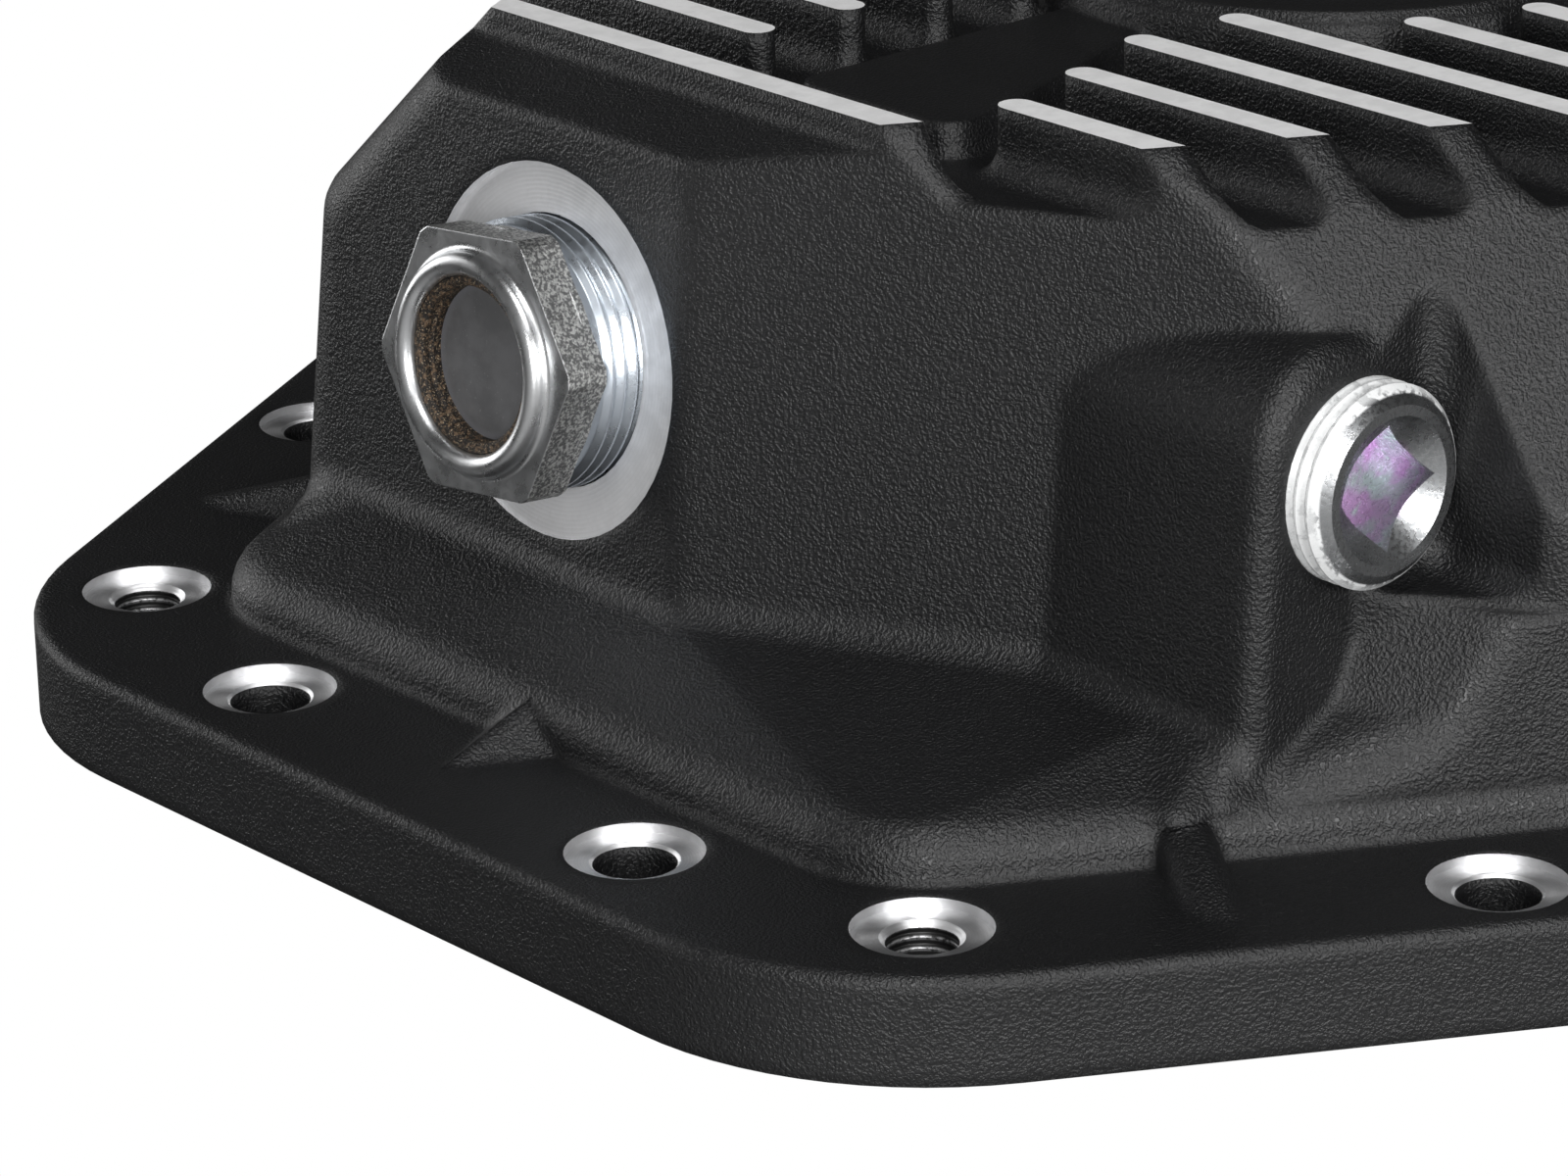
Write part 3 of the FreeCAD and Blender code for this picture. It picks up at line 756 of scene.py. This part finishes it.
@dataclass(frozen=True)
class GreyGlass(Finish):
    """Grey window glass, seen against the dark inside."""

    colour: Colour = (0.115, 0.115, 0.118)
    smear: Colour = (0.15, 0.15, 0.155)
    rim: Colour = (0.15, 0.15, 0.16)
    dust: Colour = (0.2, 0.2, 0.2)
    rim_start: float = 0.0092
    rim_end: float = 0.0102
    roughness: float = 0.08

    def shade(self, kit: NodeKit, shader: bpy.types.Node) -> None:
        """Sets colour and gloss.

        Args:
            kit: the node helper.
            shader: the Principled node.
        """
        place = kit.position()
        radial = kit.about_axis(place, SEAT_CENTRE, SEAT_AXIS)[1]
        smears = MOTTLE.place(
            kit,
            position=place,
            scale=190.0,
            detail=4.0,
            roughness=0.6,
            first=self.colour,
            second=self.smear,
        )
        edge = kit.mix(kit.ramp(radial, self.rim_start, self.rim_end), smears["Mixed"], self.rim)
        dusty = MOTTLE.place(
            kit,
            position=place,
            scale=2600.0,
            roughness=0.6,
            low=0.66,
            high=0.74,
            first=edge,
            second=self.dust,
        )
        kit.feed(shader.inputs["Base Color"], dusty["Mixed"])
        shader.inputs["Roughness"].default_value = self.roughness


@dataclass(frozen=True)
class PlugSteel(Finish):
    """Grey plug steel, with white sealant on its thread and a purple sheen in the socket."""

    light_steel: Colour = (0.60, 0.61, 0.62)
    dark_steel: Colour = (0.42, 0.43, 0.44)
    purple: Colour = (0.62, 0.45, 0.66)
    green_grey: Colour = (0.55, 0.62, 0.62)
    sealant: Colour = (0.86, 0.87, 0.87)
    thread_radius: Tuple[float, float] = (0.0121, 0.0124)
    thread_front: Tuple[float, float] = (0.0040, 0.0050)
    least_wear: float = 0.25
    front_wear: float = 0.75
    socket_radius: Tuple[float, float] = (0.0094, 0.0080)
    socket_depth: Tuple[float, float] = (0.0036, 0.0028)
    sheen_share: float = 0.8
    roughness: Tuple[float, float] = (0.22, 0.38)
    relief_height: float = 0.00006
    relief_strength: float = 0.6

    def sealant_mask(self, kit: NodeKit, place: Socket, along: Socket, radial: Socket) -> Socket:
        """Finds where sealant lies: on the thread, worn through in patches at its front.

        Args:
            kit: the node helper.
            place: the shaded point.
            along: the distance along the plug's axis.
            radial: the distance from the plug's axis.

        Returns:
            A mask of the sealant.
        """
        thread = kit.ramp(radial, *self.thread_radius)
        front = kit.ramp(along, *self.thread_front)
        patches = MOTTLE.place(
            kit, position=place, scale=520.0, detail=3.0, roughness=0.6, low=0.50, high=0.58
        )
        wear = kit.math("ADD", self.least_wear, kit.math("MULTIPLY", front, self.front_wear))
        bare = kit.math("MULTIPLY", patches["Mask"], wear)
        return kit.math("MULTIPLY", thread, kit.math("SUBTRACT", 1.0, bare))

    def shade(self, kit: NodeKit, shader: bpy.types.Node) -> None:
        """Sets colour, sealant and gloss.

        Args:
            kit: the node helper.
            shader: the Principled node.
        """
        place = kit.position()
        along, radial = kit.about_axis(place, PLUG_CENTRE, PLUG_AXIS)
        cover = self.sealant_mask(kit, place, along, radial)
        grain = MOTTLE.place(
            kit,
            position=place,
            scale=1800.0,
            detail=3.0,
            roughness=0.6,
            first=self.light_steel,
            second=self.dark_steel,
        )
        sheen = MOTTLE.place(
            kit,
            position=place,
            scale=330.0,
            low=0.4,
            high=0.6,
            first=self.purple,
            second=self.green_grey,
        )
        inside = kit.ramp(radial, *self.socket_radius)
        socket = kit.math("MULTIPLY", inside, kit.ramp(along, *self.socket_depth))
        tint = kit.math("MULTIPLY", socket, self.sheen_share)
        metal = kit.mix(tint, grain["Mixed"], sheen["Mixed"])
        kit.feed(shader.inputs["Base Color"], kit.mix(cover, metal, self.sealant))
        kit.feed(shader.inputs["Metallic"], kit.math("SUBTRACT", 1.0, cover))
        kit.feed(shader.inputs["Roughness"], kit.ramp(grain["Value"], 0.3, 0.7, *self.roughness))
        kit.relief(shader, grain["Value"], self.relief_height, self.relief_strength)


@dataclass
class Casting:
    """The cover's casting: one CAD piece with several finishes on its faces."""

    node: bpy.types.Object
    holes: List[Tuple[float, float]] = field(default_factory=all_holes)
    slack: float = 0.1 * MM
    level_slack: float = 0.2 * MM
    seat_reach: float = 4.0 * MM
    flange_slack: float = 0.6 * MM
    spotface_depth: float = 2.3 * MM
    same_hole: float = 0.5 * MM
    upward: float = 0.95

    def on_seat(self, centre: Vector) -> bool:
        """Tells whether a face is part of the sight plug's machined seat.

        Args:
            centre: the face's middle.

        Returns:
            True on the seat.
        """
        offset = centre - SEAT_CENTRE
        along = offset.dot(SEAT_AXIS)
        radial = (offset - SEAT_AXIS * along).length
        in_ring = SEAT_BORE_RADIUS < radial < SEAT_RADIUS + self.slack
        return in_ring and -self.level_slack < along < self.seat_reach

    def surface_of(self, centre: Vector, normal: Vector) -> Surface:
        """Tells which finish a face has.

        Args:
            centre: the face's middle.
            normal: the face's direction.

        Returns:
            The finish.
        """
        if centre.z > FIN_TOP - self.level_slack and normal.z > self.upward:
            return Surface.FIN_TOP
        if self.on_seat(centre):
            return Surface.SEAT
        if centre.z >= FLANGE_TOP + self.flange_slack:
            return Surface.PAINT
        for x, y in self.holes:
            if math.hypot(centre.x - x, centre.y - y) >= SPOT_RADIUS + self.slack:
                continue
            if centre.z > FLANGE_TOP - self.spotface_depth:
                return Surface.SPOTFACE
            if abs(abs(x) - TAPPED_HOLES[0][0] * MM) < self.same_hole:
                return Surface.TAPPED
        return Surface.PAINT

    def dress(self) -> None:
        """Gives each face its finish."""
        spots = tuple((x, y, 0.0) for x, y in self.holes)
        seat = (tuple(SEAT_CENTRE),)
        finishes = {
            Surface.PAINT: PowderCoat("powder_coat"),
            Surface.SPOTFACE: BareAluminium("machined_spotface", centres=spots),
            Surface.FIN_TOP: BareAluminium(
                "machined_fin_top", colour=(1.0, 1.0, 1.0), metallic=0.0, roughness=0.5
            ),
            Surface.SEAT: BareAluminium(
                "machined_seat",
                metallic=0.5,
                roughness=0.34,
                centres=seat,
                axis=SEAT_AXIS,
                pitch=0.0006,
            ),
            Surface.TAPPED: TappedThread("tapped_thread"),
        }
        mesh = self.node.data
        mesh.materials.clear()
        for surface in Surface:
            mesh.materials.append(finishes[surface].build())
        for face in mesh.polygons:
            face.material_index = self.surface_of(face.center, face.normal).value
        LOG.info("%s dressed: %d faces", self.node.name, len(mesh.polygons))


@dataclass
class PlainPiece:
    """A CAD piece with one finish."""

    node: bpy.types.Object
    finish: Finish

    def dress(self) -> None:
        """Gives the piece its finish."""
        self.node.data.materials.clear()
        self.node.data.materials.append(self.finish.build())
        LOG.info("%s dressed: %s", self.node.name, self.finish.name)


@dataclass(frozen=True)
class Lamp:
    """A soft square lamp that points at the cover."""

    name: str
    place: Tuple[float, float, float]
    size: float
    power: float
    target: Tuple[float, float, float] = (0.03, 0.03, 0.05)

    def build(self) -> None:
        """Makes the lamp."""
        data = bpy.data.lights.new(self.name, "AREA")
        data.size = self.size
        data.energy = self.power
        lamp = bpy.data.objects.new(self.name, data)
        lamp.location = self.place
        aim = Vector(self.target) - Vector(self.place)
        lamp.rotation_mode = "QUATERNION"
        lamp.rotation_quaternion = aim.to_track_quat("-Z", "Y")
        bpy.context.scene.collection.objects.link(lamp)


@dataclass
class Studio:
    """Camera, lamps and the pale surroundings."""

    camera_place: Vector = Vector((0.5845, 0.5896, 0.3224))
    camera_right: Vector = Vector((-0.7553, 0.6554, 0.0))
    camera_ahead: Vector = Vector((-0.6122, -0.7054, -0.3576))
    focal: float = 142.1
    roll: float = math.radians(1.17)
    bright_side: Tuple[float, float, float] = (0.60, 0.68, -0.42)
    bright_level: float = 0.40
    dark_level: float = 0.04
    lamps: Tuple[Lamp, ...] = (
        Lamp("overhead", (0.45, 0.55, 1.25), 0.6, 7.5),
        Lamp("front", (1.15, 0.90, 0.38), 0.5, 8.0),
        Lamp("right_side", (0.25, 1.50, 0.42), 0.6, 10.0),
        Lamp("left_side", (0.50, -1.50, 0.30), 0.9, 6.5),
    )

    def camera(self) -> None:
        """Makes the camera that matches the photo."""
        data = bpy.data.cameras.new("camera")
        data.lens = self.focal
        data.sensor_width = 36.0
        data.sensor_fit = "HORIZONTAL"
        data.clip_start = 0.05
        data.clip_end = 20.0
        right = self.camera_right.normalized()
        ahead = self.camera_ahead.normalized()
        down = ahead.cross(right).normalized()
        turned_right = right * math.cos(self.roll) + down * math.sin(self.roll)
        turned_down = down * math.cos(self.roll) - right * math.sin(self.roll)
        turn = Matrix((turned_right, -turned_down, -ahead)).transposed()
        camera = bpy.data.objects.new("camera", data)
        camera.matrix_world = Matrix.Translation(self.camera_place) @ turn.to_4x4()
        bpy.context.scene.collection.objects.link(camera)
        bpy.context.scene.camera = camera

    def surroundings(self) -> None:
        """Makes the world: white to the camera, dimmer and one-sided in reflections."""
        world = bpy.data.worlds.new("surroundings")
        bpy.context.scene.world = world
        world.use_nodes = True
        tree = world.node_tree
        tree.nodes.clear()
        kit = NodeKit(tree)
        seen = kit.add("ShaderNodeBackground")
        seen.inputs[0].default_value = (1.0, 1.0, 1.0, 1.0)
        lit = kit.add("ShaderNodeBackground")
        incoming = kit.add("ShaderNodeNewGeometry").outputs["Incoming"]
        toward = kit.vector("DOT_PRODUCT", incoming, self.bright_side)
        level = kit.ramp(toward, -0.75, 0.05, self.bright_level, self.dark_level)
        grey = kit.add("ShaderNodeCombineColor")
        for channel in grey.inputs:
            kit.feed(channel, level)
        kit.feed(lit.inputs[0], grey.outputs[0])
        mix = kit.add("ShaderNodeMixShader")
        kit.feed(mix.inputs[0], kit.add("ShaderNodeLightPath").outputs["Is Camera Ray"])
        kit.feed(mix.inputs[1], lit.outputs[0])
        kit.feed(mix.inputs[2], seen.outputs[0])
        output = kit.add("ShaderNodeOutputWorld")
        kit.feed(output.inputs[0], mix.outputs[0])

    def build(self) -> None:
        """Sets up camera, surroundings and lamps."""
        self.camera()
        self.surroundings()
        for lamp in self.lamps:
            lamp.build()
        LOG.info("studio built: %d lamps", len(self.lamps))


def main() -> None:
    """Builds the cover's looks in order."""
    logging.basicConfig(level=logging.INFO, format="%(name)s: %(message)s")
    scene = bpy.context.scene
    scene.view_settings.view_transform = "Standard"
    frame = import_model()
    nodes = frame["nodes"]
    Casting(nodes["cover_casting"]).dress()
    PlainPiece(nodes["sight_plug_body"], ZincPlate("zinc_plate")).dress()
    PlainPiece(nodes["sight_window"], GreyGlass("window_glass")).dress()
    PlainPiece(nodes["sight_seal_ring"], BrownSeal("brown_seal")).dress()
    PlainPiece(nodes["filler_plug"], PlugSteel("plug_steel")).dress()
    Studio().build()


if __name__ == "__main__":
    main()
